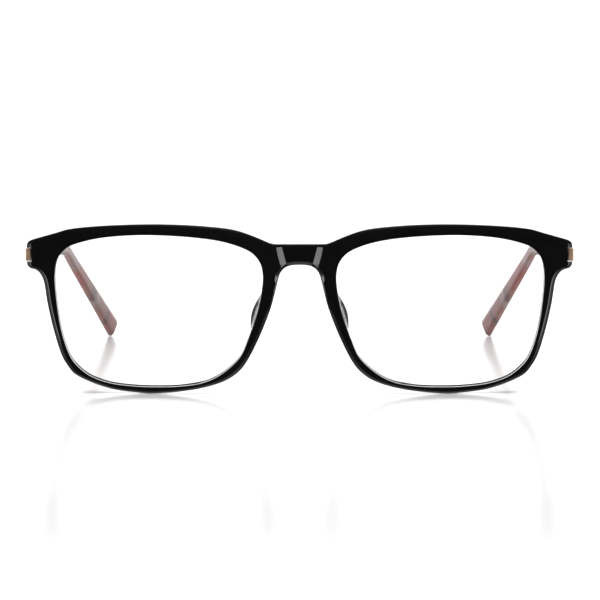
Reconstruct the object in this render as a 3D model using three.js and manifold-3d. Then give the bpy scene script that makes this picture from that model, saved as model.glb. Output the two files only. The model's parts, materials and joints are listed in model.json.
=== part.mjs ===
// Full-rim eyeglasses: a black acetate front, clear lenses, metal temples and marbled tips.
// Millimetres, +Z up. +X is the wearer's left, and the front faces -Y.
// The glasses stand on both rims and both temple tips.

import * as THREE from 'three';
import { mergeVertices } from 'three/addons/utils/BufferGeometryUtils.js';
import Module from 'manifold-3d';

const wasm = await Module();
wasm.setup();

// ---- Driving dimensions ----

// Front: outline heights are measured up from the bottom of the rims.
const FRONT_WIDTH = 142.4;
const FRONT_HEIGHT = 44.45;
const FRONT_DEPTH = 3.8;
const FRONT_ROUNDING = 0.5;
const FRONT_TILT = THREE.MathUtils.degToRad(4.5);
const WRAP_RADIUS = 320;
const MENISCUS_RADIUS = 220;
const MENISCUS_HEIGHT = 22;
const ENDPIECE_THICKENING = 2.0;
const BRIDGE_RECESS_DEPTH = 1.0;

// Lenses: a V-shaped edge that sits in a V-shaped groove.
const LENS_THICKNESS = 1.7;
const LENS_EDGE_FLAT = 0.2;
const LENS_BEVEL = 0.6;
const LENS_REACH = 0.35;
const GROOVE_DEPTH = 0.5;
const GROOVE_WIDTH = 2.1;

// Temples: a flat metal bar that ends in a core wire inside an acetate tip.
// The line first swings inwards, then bends down behind the ear.
const TEMPLE_SLOPE = THREE.MathUtils.degToRad(3.38);
const TEMPLE_LENGTH = 146.5;
const BAR_THICKNESS = 1.3;
const BAR_HEIGHT = 3.3;
const BAR_END_HEIGHT = 2.4;
const BAR_AHEAD = 5.4;
const INWARD_START = 52;
const INWARD_END = 96.5;
const INWARD_ANGLE = THREE.MathUtils.degToRad(11.1);
const BEND_START = 83;
const BEND_RADIUS = 14;
const BEND_ANGLE = THREE.MathUtils.degToRad(25.1);
const TIP_TWIST = THREE.MathUtils.degToRad(12.6);
const PATH_STEP = 0.5;
const CORE_THICKNESS = 1.0;
const CORE_HEIGHT = 1.5;
const TANG_HEIGHT = 1.9;
const CORE_SHORT_OF_END = 10;
const TIP_START = 70;
const SHOULDER = TIP_START - 0.6;
const CORE_TAPER_START = TIP_START + 4;
const CORE_TAPER_END = TIP_START + 10;
const TIP_THICKNESS = 2.2;
const TIP_HEIGHT = 2.9;
const PADDLE_HEIGHT = 5.8;
const PADDLE_ROUNDING = 1.6;
const PADDLE_SLANT = 0.8;
const ROUNDING_START = TEMPLE_LENGTH - PADDLE_ROUNDING;
const CORE_GAP = 0.15;

// Hinges: three knuckles on one screw.
const PIN_X = 68.4;
const PIN_Y = 10.9;
const PIN_HEIGHT = 36.2;
const PIN_RADIUS = 0.5;
const KNUCKLE_RADIUS = 1.3;
const KNUCKLE_HEIGHT = 1.1;
const BAR_INSET = 1.7;
const ENDPIECE_BACK = -2.2;
const LEAF_THICKNESS = 0.8;
const LEAF_SINK = 0.5;
const LEAF_INNER = -4.1;
const LEAF_OUTER = 0.5;
const LEAF_HALF = 2.3;
const LEAF_SCREW_X = -2.9;
const LEAF_SCREW_Z = 1.15;
const WASHER_THICKNESS = 0.16;
const CLEARANCE = 0.15;
const MIDDLE_HALF = 0.65;
const OUTER_START = MIDDLE_HALF + 2 * 0.1 + WASHER_THICKNESS;
const OUTER_END = OUTER_START + KNUCKLE_HEIGHT;
const NOTCH_HEIGHT = 3.7;

// Nose pads.
const PAD_LENGTH = 18;
const PAD_DEPTH = 6.3;
const PAD_THICKNESS = 2.4;
const PAD_SPLAY = 0.25;
const PAD_LEAN = 0.29;
const PAD_X = 9.9;
const PAD_HEIGHT = 20.6;
const BOND_GAP = 0.3;

const CURVE_STEPS = 2;
const ROUND_SIDES = 16;

// ---- Materials ----

function finish(color, roughness, metalness) {
  return new THREE.MeshStandardMaterial({ color, roughness, metalness });
}

const blackAcetate = finish(0x131316, 0.16, 0);
const roseGold = finish(0xac9176, 0.3, 1);
const steel = finish(0xb9b6b0, 0.25, 1);
const nylon = finish(0xe6e4de, 0.5, 0);
const marbledAcetate = finish(0x9a807c, 0.2, 0);
const clearLens = finish(0xf4f7f8, 0.05, 0);
clearLens.transparent = true;
clearLens.opacity = 0.15;

// ---- Solids: joining, cutting and mirroring ----

function toSolid(geometry) {
  const bare = geometry.clone();
  bare.deleteAttribute('normal');
  bare.deleteAttribute('uv');
  const merged = mergeVertices(bare, 1e-4);
  const vertProperties = new Float32Array(merged.attributes.position.array);
  const triVerts = new Uint32Array(merged.index.array);
  return new wasm.Manifold(new wasm.Mesh({ numProp: 3, vertProperties, triVerts }));
}

function toGeometry(solid) {
  const mesh = solid.getMesh();
  const geometry = new THREE.BufferGeometry();
  geometry.setAttribute('position', new THREE.BufferAttribute(new Float32Array(mesh.vertProperties), 3));
  geometry.setIndex(new THREE.BufferAttribute(new Uint32Array(mesh.triVerts), 1));
  return geometry;
}

function join(...geometries) {
  const solids = geometries.map(toSolid);
  return toGeometry(solids.reduce((whole, next) => whole.add(next)));
}

function cut(geometry, ...tools) {
  return toGeometry(tools.map(toSolid).reduce((whole, tool) => whole.subtract(tool), toSolid(geometry)));
}

function common(a, b) {
  return toGeometry(toSolid(a).intersect(toSolid(b)));
}

// A left-hand piece's mirror image, with its faces still pointing out.
function mirrored(geometry) {
  const copy = mergeVertices(geometry.clone());
  copy.scale(-1, 1, 1);
  const index = copy.index.array;
  for (let i = 0; i < index.length; i += 3) {
    [index[i], index[i + 1]] = [index[i + 1], index[i]];
  }
  copy.deleteAttribute('normal');
  return copy;
}

function deform(geometry, move) {
  const position = geometry.attributes.position;
  const point = new THREE.Vector3();
  for (let i = 0; i < position.count; i += 1) {
    point.fromBufferAttribute(position, i);
    move(point);
    position.setXYZ(i, point.x, point.y, point.z);
  }
  return geometry;
}

// A block given by its two corners.
function block(low, high) {
  const [x0, y0, z0] = low;
  const [x1, y1, z1] = high;
  const geometry = new THREE.BoxGeometry(x1 - x0, y1 - y0, z1 - z0);
  return geometry.translate((x0 + x1) / 2, (y0 + y1) / 2, (z0 + z1) / 2);
}

// A round bar along Z.
function upBar(x, y, bottom, top, radius) {
  const geometry = new THREE.CylinderGeometry(radius, radius, top - bottom, ROUND_SIDES);
  geometry.rotateX(Math.PI / 2);
  return geometry.translate(x, y, (bottom + top) / 2);
}

// A round bar along Y, with one radius at each end.
function backBar(x, z, front, back, radiusFront, radiusBack = radiusFront) {
  const geometry = new THREE.CylinderGeometry(radiusBack, radiusFront, back - front, ROUND_SIDES);
  return geometry.translate(x, (front + back) / 2, z);
}

// ---- Front ----

const halfPoints = (pairs) => pairs.map(([x, y]) => new THREE.Vector2(x, y));

// The left half of the front's outline, from the top of the bridge round to its underside.
function halfOutline() {
  const edge = FRONT_WIDTH / 2;
  const path = new THREE.Path();
  path.moveTo(0, 39.55);
  path.lineTo(5.6, 39.55);
  path.quadraticCurveTo(6.6, 39.55, 7.6, 39.9);
  path.splineThru(halfPoints([
    [11.8, 41.65], [15.9, 43], [20.5, 43.75], [28.4, 44.3], [36.7, FRONT_HEIGHT], [45, 44.2], [53.5, 43.6],
    [59.8, 42.8], [63.5, 41.7], [69.9, 39.75],
  ]));
  path.quadraticCurveTo(edge, 39.3, edge, 38.3);
  path.lineTo(edge, 33.9);
  path.quadraticCurveTo(edge - 0.05, 32.25, 69.5, 32.2);
  path.splineThru(halfPoints([
    [68.2, 31.65], [66.75, 29.2], [65.8, 23.2], [64.4, 16.7], [62.6, 10.4], [61, 7.2], [58.1, 4.1],
    [50.2, 1.15], [43.2, 0.2], [37.8, 0], [30.7, 0.7], [24.3, 1.95], [19.1, 3.8], [15.8, 6.15], [13.65, 8.9],
    [11.5, 13], [9.4, 17.75], [7.35, 23.4], [5.5, 30.6], [5.1, 32],
  ]));
  path.bezierCurveTo(4.5, 33.4, 3.4, 34.2, 0, 34.2);
  return path.getPoints(CURVE_STEPS);
}

// The opening for one lens.
function openingShape(side) {
  const points = halfPoints([
    [38.2, 41.8], [46.2, 41.45], [53.1, 40.5], [59.1, 38.75], [61.5, 37.05], [63.1, 34.6], [63.68, 30.8],
    [63.5, 26.2], [62.8, 20], [61.9, 15.2], [60.4, 10.5], [58.5, 7.3], [54.7, 4.2], [49.5, 2.45],
    [43.5, 1.8], [37.7, 1.7], [31, 2.05], [25.2, 3.1], [20.3, 5.55], [15.65, 9.95], [13.45, 14.75],
    [11.25, 21.1], [10.1, 25.8], [9.5, 31.2], [10.35, 35.2], [13.3, 38.1], [19.75, 40.3], [28, 41.4],
  ]);
  const loop = new THREE.CatmullRomCurve3(points.map((p) => new THREE.Vector3(side * p.x, p.y, 0)), true);
  const ring = loop.getPoints(points.length * CURVE_STEPS).slice(0, -1);
  return new THREE.Shape(ring.map((p) => new THREE.Vector2(p.x, p.y)));
}

function frontShape() {
  const half = halfOutline();
  const other = half.slice(1, -1).reverse().map((p) => new THREE.Vector2(-p.x, p.y));
  const shape = new THREE.Shape([...half, ...other].reverse());
  shape.holes = [1, -1].map((side) => new THREE.Path(openingShape(side).getPoints()));
  return shape;
}

// Stands a flat outline up, centred on the given distance behind the front face.
function upright(shape, flat, bevel, centre) {
  const geometry = new THREE.ExtrudeGeometry(shape, {
    depth: flat,
    bevelEnabled: true,
    bevelThickness: bevel.thickness,
    bevelSize: bevel.size,
    bevelOffset: bevel.offset,
    bevelSegments: bevel.segments,
  });
  geometry.translate(0, 0, -flat / 2);
  geometry.rotateX(Math.PI / 2);
  return geometry.translate(0, centre, 0);
}

// The curve of the front around the face, and the slight dishing of the lenses.
function wrap(geometry) {
  return deform(geometry, (p) => {
    p.y += p.x ** 2 / (2 * WRAP_RADIUS) + (p.z - MENISCUS_HEIGHT) ** 2 / (2 * MENISCUS_RADIUS);
  });
}

function lensRing(side, reach, depth, thickness) {
  const slope = (thickness - LENS_EDGE_FLAT) / 2;
  const bevel = { thickness: slope, size: depth, offset: reach - depth, segments: 1 };
  return upright(openingShape(side), LENS_EDGE_FLAT, bevel, FRONT_DEPTH / 2);
}

const lensGeometry = (side) => wrap(lensRing(side, LENS_REACH, LENS_BEVEL, LENS_THICKNESS));
const grooveTool = (side) => lensRing(side, GROOVE_DEPTH, GROOVE_DEPTH + 0.2, GROOVE_WIDTH);

// The sunken middle of the bridge, with slanted sides that draw in towards the bottom.
function bridgeRecess() {
  const top = 41;
  const bottom = 32.5;
  const shape = new THREE.Shape(halfPoints([
    [-8.4, -1], [8.4, -1], [4.5, BRIDGE_RECESS_DEPTH], [-4.5, BRIDGE_RECESS_DEPTH],
  ]));
  const geometry = new THREE.ExtrudeGeometry(shape, { depth: top - bottom, bevelEnabled: false });
  geometry.translate(0, 0, bottom);
  return deform(geometry, (p) => {
    p.x *= 0.79 + 0.21 * (p.z - bottom) / (top - bottom);
  });
}

// Extra thickness behind each endpiece, where the hinge is let in.
function endpieceBlock(side) {
  const shape = new THREE.Shape(halfPoints([
    [61.4, 42.0], [65, 40.8], [69.2, 39.3], [70.5, 38.7], [70.8, 37.6], [70.75, 34], [70.1, 33],
    [68.6, 32.5], [66.9, 31], [65.2, 32.6], [64.4, 34.8], [63.6, 36.8], [62.3, 39.4],
  ]));
  const depth = FRONT_DEPTH + ENDPIECE_THICKENING - 1;
  const geometry = new THREE.ExtrudeGeometry(shape, { depth, bevelEnabled: false });
  geometry.rotateX(Math.PI / 2);
  geometry.translate(0, depth + 1, 0);
  return side > 0 ? geometry : mirrored(geometry);
}

function frontFlat() {
  const bevel = { thickness: FRONT_ROUNDING, size: FRONT_ROUNDING, offset: -FRONT_ROUNDING, segments: 1 };
  const slab = upright(frontShape(), FRONT_DEPTH - 2 * FRONT_ROUNDING, bevel, FRONT_DEPTH / 2);
  const whole = join(slab, endpieceBlock(1), endpieceBlock(-1));
  return cut(whole, grooveTool(1), grooveTool(-1), bridgeRecess());
}

// What the hinge takes out of the left endpiece: the mitred back, the notch for the bar,
// the pocket for the hinge leaf and the pilot holes for its two screws.
function endpieceTools() {
  const pocket = ENDPIECE_BACK - LEAF_SINK - CLEARANCE;
  const edge = LEAF_HALF + CLEARANCE;
  return [
    block([-12, ENDPIECE_BACK, -9], [9, 9, 9]),
    block([BAR_INSET - 0.3, -12, -NOTCH_HEIGHT / 2], [6, 0, NOTCH_HEIGHT / 2]),
    block([LEAF_INNER - CLEARANCE, pocket, -edge], [LEAF_OUTER + CLEARANCE, 0, edge]),
    ...[1, -1].map((end) => backBar(LEAF_SCREW_X, end * LEAF_SCREW_Z, pocket - 1.8, pocket + 0.5, 0.6)),
  ];
}

// A bonded pad: half an egg behind the inner side of the rim, splayed out towards the back.
function nosePad() {
  const egg = new THREE.SphereGeometry(1, 18, 12);
  deform(egg, (p) => p.set(PAD_THICKNESS / 2 * p.x, PAD_DEPTH * p.y, PAD_LENGTH / 2 * p.z));
  const base = FRONT_DEPTH + BOND_GAP;
  const behind = block([-20, 0, -20], [20, 20, 20]);
  const half = common(egg, behind);
  deform(half, (p) => {
    p.x += PAD_SPLAY * p.y - PAD_LEAN * p.z;
    p.set(p.x + PAD_X, p.y + base, p.z + PAD_HEIGHT);
  });
  return wrap(half);
}

// ---- Temple: the path it follows, and the pieces swept along it ----

// Which way the temple's line runs at this distance along it: how far it has swung inwards,
// and how far it has bent down.
function templeTurns(s) {
  const swing = THREE.MathUtils.clamp((s - INWARD_START) / (INWARD_END - INWARD_START), 0, 1);
  const pitch = THREE.MathUtils.clamp((s - BEND_START) / BEND_RADIUS, 0, BEND_ANGLE);
  return { heading: INWARD_ANGLE * swing, pitch };
}

// A point on the temple's centre line, found by following the line from the hinge.
function templePoint(s) {
  const point = new THREE.Vector3(BAR_INSET + BAR_THICKNESS / 2, Math.min(s, INWARD_START), 0);
  const steps = Math.max(0, Math.ceil((s - INWARD_START) / PATH_STEP));
  const step = (s - INWARD_START) / Math.max(1, steps);
  for (let i = 0; i < steps; i += 1) {
    const { heading, pitch } = templeTurns(INWARD_START + (i + 0.5) * step);
    point.x -= step * Math.sin(heading) * Math.cos(pitch);
    point.y += step * Math.cos(heading) * Math.cos(pitch);
    point.z -= step * Math.sin(pitch);
  }
  return point;
}

// The directions of the section's thickness, its height and the line itself. The tip leans inwards.
function templeAxes(s) {
  const { heading, pitch } = templeTurns(s);
  const level = Math.cos(pitch);
  const lean = TIP_TWIST * Math.max(0, (s - INWARD_START) / (TEMPLE_LENGTH - INWARD_START));
  const out = new THREE.Vector3(Math.cos(heading), Math.sin(heading), 0);
  const up = new THREE.Vector3(
    -Math.sin(heading) * Math.sin(pitch),
    Math.cos(heading) * Math.sin(pitch),
    level,
  );
  const across = out.clone().multiplyScalar(Math.cos(lean)).addScaledVector(up, Math.sin(lean));
  const tall = up.multiplyScalar(Math.cos(lean)).addScaledVector(out, -Math.sin(lean));
  const ahead = new THREE.Vector3(-Math.sin(heading) * level, Math.cos(heading) * level, -Math.sin(pitch));
  return { across, tall, ahead };
}

// A square of half-width 1 whose corners are rounded off.
function sectionShape(corner, cornerSteps) {
  const inner = 1 - corner;
  const centres = [[inner, inner], [-inner, inner], [-inner, -inner], [inner, -inner]];
  const points = centres.flatMap(([cx, cy], quarter) => (
    Array.from({ length: cornerSteps + 1 }, (_, i) => {
      const angle = (quarter + i / cornerSteps) * Math.PI / 2;
      return new THREE.Vector2(cx + corner * Math.cos(angle), cy + corner * Math.sin(angle));
    })
  ));
  return new THREE.Shape(points);
}

// Sweeps a section along the temple through the given stations. size(s) gives its thickness and
// height at each, and how far its top is drawn back along the line.
function alongTemple(section, stations, size) {
  const depth = stations.length - 1;
  const geometry = new THREE.ExtrudeGeometry(section, { depth, steps: depth, bevelEnabled: false });
  return deform(geometry, (p) => {
    const s = stations[Math.round(p.z)];
    const { across, tall, ahead } = templeAxes(s);
    const [thickness, height, slant] = size(s);
    const sideways = -p.x * thickness / 2;
    const upwards = p.y * height / 2;
    const forwards = p.y * slant;
    p.copy(templePoint(s)).addScaledVector(across, sideways);
    p.addScaledVector(tall, upwards).addScaledVector(ahead, forwards);
  });
}

function evenly(from, to, count) {
  return Array.from({ length: count + 1 }, (_, i) => from + (to - from) * i / count);
}

// The bar has a shoulder just ahead of the tip, and shrinks to the core wire inside it.
function barSize(s) {
  const height = THREE.MathUtils.mapLinear(Math.max(s, 0), 0, SHOULDER, BAR_HEIGHT, BAR_END_HEIGHT);
  return s <= SHOULDER ? [BAR_THICKNESS, height, 0] : coreSize(s, 0);
}

function coreSize(s, extra) {
  const t = THREE.MathUtils.smoothstep(s, CORE_TAPER_START, CORE_TAPER_END);
  return [CORE_THICKNESS + extra, THREE.MathUtils.lerp(TANG_HEIGHT, CORE_HEIGHT, t) + extra, 0];
}

function tipSize(s) {
  const t = THREE.MathUtils.clamp((s - TIP_START - 5) / (ROUNDING_START - TIP_START - 5), 0, 1);
  const end = Math.max(0, s - ROUNDING_START) / PADDLE_ROUNDING;
  const height = THREE.MathUtils.lerp(TIP_HEIGHT, PADDLE_HEIGHT, t);
  const rounded = Math.max(0.1, 1 - end ** 4) ** 0.25;
  return [TIP_THICKNESS * (1 - 0.4 * end ** 4), height * rounded, PADDLE_SLANT * end ** 2];
}

const coreEnd = TEMPLE_LENGTH - CORE_SHORT_OF_END;
const taperStations = evenly(CORE_TAPER_START, CORE_TAPER_END, 3);
const coreStations = [...taperStations, ...evenly(CORE_TAPER_END + 4, coreEnd, 13)];

function templeBar() {
  const stations = [-BAR_AHEAD, 0, INWARD_START, SHOULDER, SHOULDER + 0.4, ...coreStations];
  return alongTemple(sectionShape(0.22, 1), stations, barSize);
}

function templeTip() {
  const quarter = evenly(0, Math.PI / 2, 5).slice(1);
  const roundEnd = quarter.map((angle) => ROUNDING_START + PADDLE_ROUNDING * Math.sin(angle));
  const outside = [...evenly(TIP_START, ROUNDING_START, 18), ...roundEnd];
  const body = alongTemple(sectionShape(0.7, 3), outside, tipSize);
  const bore = [TIP_START - 1, ...coreStations.slice(0, -1), coreEnd + CORE_GAP];
  return cut(body, alongTemple(sectionShape(0.22, 1), bore, (s) => coreSize(s, 2 * CORE_GAP)));
}

// ---- Hinge ----

// A plate lying across Y, with rounded corners.
function plate(x0, x1, front, back, halfHeight, corner) {
  const shape = new THREE.Shape();
  shape.moveTo(x0 + corner, -halfHeight);
  shape.lineTo(x1 - corner, -halfHeight);
  shape.absarc(x1 - corner, corner - halfHeight, corner, -Math.PI / 2, 0);
  shape.absarc(x1 - corner, halfHeight - corner, corner, 0, Math.PI / 2);
  shape.absarc(x0 + corner, halfHeight - corner, corner, Math.PI / 2, Math.PI);
  shape.absarc(x0 + corner, corner - halfHeight, corner, Math.PI, 1.5 * Math.PI);
  const depth = back - front;
  const geometry = new THREE.ExtrudeGeometry(shape, { depth, bevelEnabled: false, curveSegments: 4 });
  geometry.rotateX(Math.PI / 2);
  return geometry.translate(0, back, 0);
}

function frontHingeLeaf() {
  const front = ENDPIECE_BACK - LEAF_SINK;
  const back = front + LEAF_THICKNESS;
  const knuckles = [1, -1].flatMap((end) => {
    const [low, high] = [end * OUTER_START, end * OUTER_END].sort((a, b) => a - b);
    return [
      upBar(0, 0, low, high, KNUCKLE_RADIUS),
      block([-1.2, front + 0.3, low], [LEAF_OUTER - 0.05, 0, high]),
    ];
  });
  const whole = join(plate(LEAF_INNER, LEAF_OUTER, front, back, LEAF_HALF, 0.6), ...knuckles);
  const screwHoles = [1, -1].flatMap((end) => [
    backBar(LEAF_SCREW_X, end * LEAF_SCREW_Z, front - 1, back + 1, 0.6),
    backBar(LEAF_SCREW_X, end * LEAF_SCREW_Z, back - 0.45, back + 0.1, 0.6, 1.0),
  ]);
  return cut(whole, upBar(0, 0, -4, 4, PIN_RADIUS + CLEARANCE), ...screwHoles);
}

function templeHingeLeaf() {
  const back = BAR_INSET - CLEARANCE;
  const whole = join(
    upBar(0, 0, -MIDDLE_HALF, MIDDLE_HALF, KNUCKLE_RADIUS),
    block([0.2, -0.7, -MIDDLE_HALF], [back, 2.4, MIDDLE_HALF]),
    block([back - 0.6, 1.7, -1.25], [back, 9, 1.25]),
  );
  return cut(whole, upBar(0, 0, -4, 4, PIN_RADIUS + CLEARANCE));
}

function hingeScrew() {
  const seat = OUTER_END + 0.08;
  const shank = upBar(0, 0, -OUTER_END, seat + 0.1, PIN_RADIUS);
  const head = upBar(0, 0, seat, seat + 0.55, 0.95);
  return cut(join(shank, head), block([-1.2, -0.14, seat + 0.3], [1.2, 0.14, seat + 1]));
}

function hingeWasher() {
  const half = WASHER_THICKNESS / 2;
  return cut(upBar(0, 0, -half, half, KNUCKLE_RADIUS - 0.1), upBar(0, 0, -1, 1, PIN_RADIUS + CLEARANCE));
}

// A countersunk screw, driven forwards into the endpiece, with its slot at the back.
function leafScrew() {
  const back = ENDPIECE_BACK - LEAF_SINK + LEAF_THICKNESS;
  const shank = backBar(0, 0, back - 2.4, back - 0.3, 0.45);
  const head = backBar(0, 0, back - 0.34, back - 0.02, 0.5, 0.85);
  return cut(join(shank, head), block([-1, back - 0.18, -0.1], [1, back + 1, 0.1]));
}

// ---- Assembly ----

const glasses = new THREE.Group();

const front = new THREE.Group();
front.rotation.x = FRONT_TILT;
glasses.add(front);

function addMesh(parent, name, geometry, material) {
  const mesh = new THREE.Mesh(geometry, material);
  mesh.name = name;
  parent.add(mesh);
  return mesh;
}

// Everything on one hinge, as a left-hand set or its mirror image.
function buildSide(side, name) {
  const hinge = new THREE.Group();
  hinge.position.set(side * PIN_X, PIN_Y, PIN_HEIGHT);
  hinge.rotation.x = -TEMPLE_SLOPE;
  glasses.add(hinge);
  const handed = (geometry) => (side > 0 ? geometry : mirrored(geometry));
  addMesh(hinge, `${name}_temple_bar`, handed(templeBar()), roseGold);
  addMesh(hinge, `${name}_temple_tip`, handed(templeTip()), marbledAcetate);
  addMesh(hinge, `${name}_front_hinge_leaf`, handed(frontHingeLeaf()), roseGold);
  addMesh(hinge, `${name}_temple_hinge_leaf`, handed(templeHingeLeaf()), roseGold);
  addMesh(hinge, `${name}_hinge_screw`, hingeScrew(), steel);
  for (const [place, end] of [['upper', 1], ['lower', -1]]) {
    const washer = addMesh(hinge, `${name}_${place}_hinge_washer`, hingeWasher(), nylon);
    washer.position.z = end * (MIDDLE_HALF + OUTER_START) / 2;
    const screw = addMesh(hinge, `${name}_${place}_leaf_screw`, leafScrew(), steel);
    screw.position.set(side * LEAF_SCREW_X, 0, end * LEAF_SCREW_Z);
  }
  return hinge;
}

const hinges = [[1, 'left'], [-1, 'right']].map(([side, name]) => buildSide(side, name));

// The hinges' cuts are made in the front's own frame.
glasses.updateMatrixWorld(true);
const toFront = front.matrixWorld.clone().invert().multiply(hinges[0].matrixWorld);
const leftTools = endpieceTools().map((tool) => tool.applyMatrix4(toFront));
const rightTools = leftTools.map((tool) => mirrored(tool));
addMesh(front, 'front_frame', cut(wrap(frontFlat()), ...leftTools, ...rightTools), blackAcetate);

for (const [side, name] of [[1, 'left'], [-1, 'right']]) {
  addMesh(front, `${name}_lens`, lensGeometry(side), clearLens);
  const pad = nosePad();
  addMesh(front, `${name}_nose_pad`, side > 0 ? pad : mirrored(pad), blackAcetate);
}

// The origin is under the middle of the glasses, on the surface they stand on.
glasses.updateMatrixWorld(true);
const box = new THREE.Box3().setFromObject(glasses, true);
const middle = box.getCenter(new THREE.Vector3());
glasses.position.set(-middle.x, -middle.y, -box.min.z);

export default glasses;
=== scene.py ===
"""Looks for the eyeglasses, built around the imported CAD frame.

The front is drawn flat, in millimetres: u towards the wearer's left, w up from the bottom of the
rims, y back from the front face. The temples are drawn in their hinge's frame, in millimetres:
x outwards from the screw, y back along the temple, z up. place_front() and place_hinge() set both
where the CAD has them, in metres, and mirror the right-hand side.
"""

import json
import math

import bmesh
import bpy
import numpy as np
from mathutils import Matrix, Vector


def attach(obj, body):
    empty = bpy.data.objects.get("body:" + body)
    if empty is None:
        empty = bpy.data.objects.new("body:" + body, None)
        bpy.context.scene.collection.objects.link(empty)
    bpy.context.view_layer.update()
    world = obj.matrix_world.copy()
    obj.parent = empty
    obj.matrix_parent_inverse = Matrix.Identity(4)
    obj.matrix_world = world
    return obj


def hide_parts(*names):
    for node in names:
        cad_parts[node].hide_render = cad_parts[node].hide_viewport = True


MM = 0.001

# ---- Driving dimensions, in millimetres, as in the CAD ----

FRONT_DEPTH = 3.8
FRONT_TILT = math.radians(4.5)
FRONT_EDGE = 71.2
WRAP_RADIUS = 320
MENISCUS_RADIUS = 220
MENISCUS_HEIGHT = 22
PAD_LENGTH, PAD_DEPTH, PAD_THICKNESS = 18, 6.3, 2.0
PAD_SPLAY, PAD_LEAN = 0.2, 0.29
PAD_X, PAD_HEIGHT = 9.65, 20.6
BOND_GAP = 0.3
LENS_MIDDLE = (37, 22)
PIN_Y, PIN_HEIGHT = 10.9, 36.2
TEMPLE_SLOPE = math.radians(3.38)
TEMPLE_LENGTH = 146.5
INWARD_START, INWARD_END = 52, 96.5
INWARD_ANGLE = math.radians(11.1)
BEND_START, BEND_RADIUS = 83, 14
BEND_ANGLE = math.radians(25.1)
TIP_TWIST = math.radians(12.6)
BAR_X, BAR_THICKNESS, BAR_AHEAD = 2.35, 1.3, 5.4
BAR_HEIGHT, BAR_END_HEIGHT = 3.3, 2.4
TIP_START, TIP_THICKNESS = 70, 2.2
TIP_HEIGHT, PADDLE_HEIGHT, PADDLE_SLANT = 2.9, 5.8, 0.8
PADDLE_ROUNDING = 1.6
SHOULDER = TIP_START - 0.6
CORE_THICKNESS, CORE_HEIGHT = 1.0, 1.9
CORE_TAPER, CORE_TAPER_START, CORE_TAPER_LENGTH = 0.4, 4, 6
CORE_END = TEMPLE_LENGTH - 10
CORE_GAP = 0.15

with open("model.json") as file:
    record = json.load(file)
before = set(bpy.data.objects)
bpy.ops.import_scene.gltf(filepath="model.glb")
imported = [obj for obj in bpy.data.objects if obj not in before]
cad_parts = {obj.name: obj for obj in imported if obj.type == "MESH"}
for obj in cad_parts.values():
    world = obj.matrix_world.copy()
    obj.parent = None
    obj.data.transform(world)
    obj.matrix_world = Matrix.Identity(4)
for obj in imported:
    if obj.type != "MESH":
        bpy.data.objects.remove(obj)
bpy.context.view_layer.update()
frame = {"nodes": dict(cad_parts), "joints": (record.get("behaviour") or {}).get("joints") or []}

pin = frame["joints"][0]["pos_m"]
FRONT_SHIFT = np.array([0, pin[1] / MM - PIN_Y, pin[2] / MM - PIN_HEIGHT])
HINGE = np.array(pin) / MM


def turned(points, angle):
    """The points turned about the X axis."""
    x, y, z = np.moveaxis(points, -1, 0)
    c, s = math.cos(angle), math.sin(angle)
    return np.stack([x, y * c - z * s, y * s + z * c], -1)


def place_front(u, w, y, side=1):
    """Wraps and tilts points of the flat front, and sets them in the frame, in metres."""
    u, w, y = np.broadcast_arrays(np.asarray(u, float), w, y)
    y = y + u**2 / (2 * WRAP_RADIUS) + (w - MENISCUS_HEIGHT) ** 2 / (2 * MENISCUS_RADIUS)
    points = turned(np.stack([u, y, w], -1), FRONT_TILT) + FRONT_SHIFT
    return points * [side, 1, 1] * MM


def place_hinge(points, side=1):
    """Sets points of one temple's hinge frame in the frame, in metres."""
    return (turned(np.asarray(points, float), -TEMPLE_SLOPE) + HINGE) * [side, 1, 1] * MM


# ---- Flat curves ----


def quadratic(a, b, c, steps=12):
    t = np.linspace(0, 1, steps)[:, None]
    a, b, c = (np.array(p, float) for p in (a, b, c))
    return a * (1 - t) ** 2 + 2 * b * t * (1 - t) + c * t**2


def cubic(a, b, c, d, steps=24):
    t = np.linspace(0, 1, steps)[:, None]
    a, b, c, d = (np.array(p, float) for p in (a, b, c, d))
    return a * (1 - t) ** 3 + 3 * b * t * (1 - t) ** 2 + 3 * c * t**2 * (1 - t) + d * t**3


def through(points, closed=False, steps=24):
    """A smooth curve through the points."""
    p = np.array(points, float)
    p = np.vstack([p[-1:], p, p[:2]]) if closed else np.vstack([p[:1], p, p[-1:]])
    t = np.linspace(0, 1, steps, endpoint=False)[:, None]
    spans = []
    for a, b, c, d in zip(p, p[1:], p[2:], p[3:]):
        leave, arrive = (c - a) / 2, (d - b) / 2
        cube = 2 * b - 2 * c + leave + arrive
        square = 3 * c - 3 * b - 2 * leave - arrive
        spans.append(cube * t**3 + square * t**2 + leave * t + b)
    return np.vstack(spans) if closed else np.vstack([*spans, p[-1:]])


def lengths(points):
    """How far along the curve each point lies."""
    steps = np.linalg.norm(np.diff(points, axis=0), axis=1)
    return np.concatenate([[0], np.cumsum(steps)])


def at(distance, along, values):
    """What the values, given at places along a curve, are at these distances."""
    return np.stack([np.interp(distance, along, column) for column in values.T], -1)


def respaced(points, step):
    """The same curve with evenly spaced points, about this far apart."""
    along = lengths(points)
    return at(np.linspace(0, along[-1], round(along[-1] / step) + 1), along, points)


def softened(values, sigma):
    """Values round a loop, smoothed by a bell of that many samples."""
    reach = int(4 * sigma)
    offsets = np.arange(-reach, reach + 1)
    bell = np.exp(-0.5 * (offsets / sigma) ** 2)
    bell /= bell.sum()
    return sum(b * np.roll(values, o, axis=0) for b, o in zip(bell, offsets))


def eased(t):
    """A share from 0 to 1 that starts and ends gently."""
    return t * t * (3 - 2 * t)


def inwards(points):
    """The right-hand normal of an open curve at each of its points."""
    along = np.gradient(points, axis=0)
    along /= np.linalg.norm(along, axis=1)[:, None]
    return np.stack([along[:, 1], -along[:, 0]], -1)


# ---- The front's outline and lens opening ----

OUTLINE_STEP = 0.25
OUTLINE_SOFTNESS = 0.4


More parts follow.
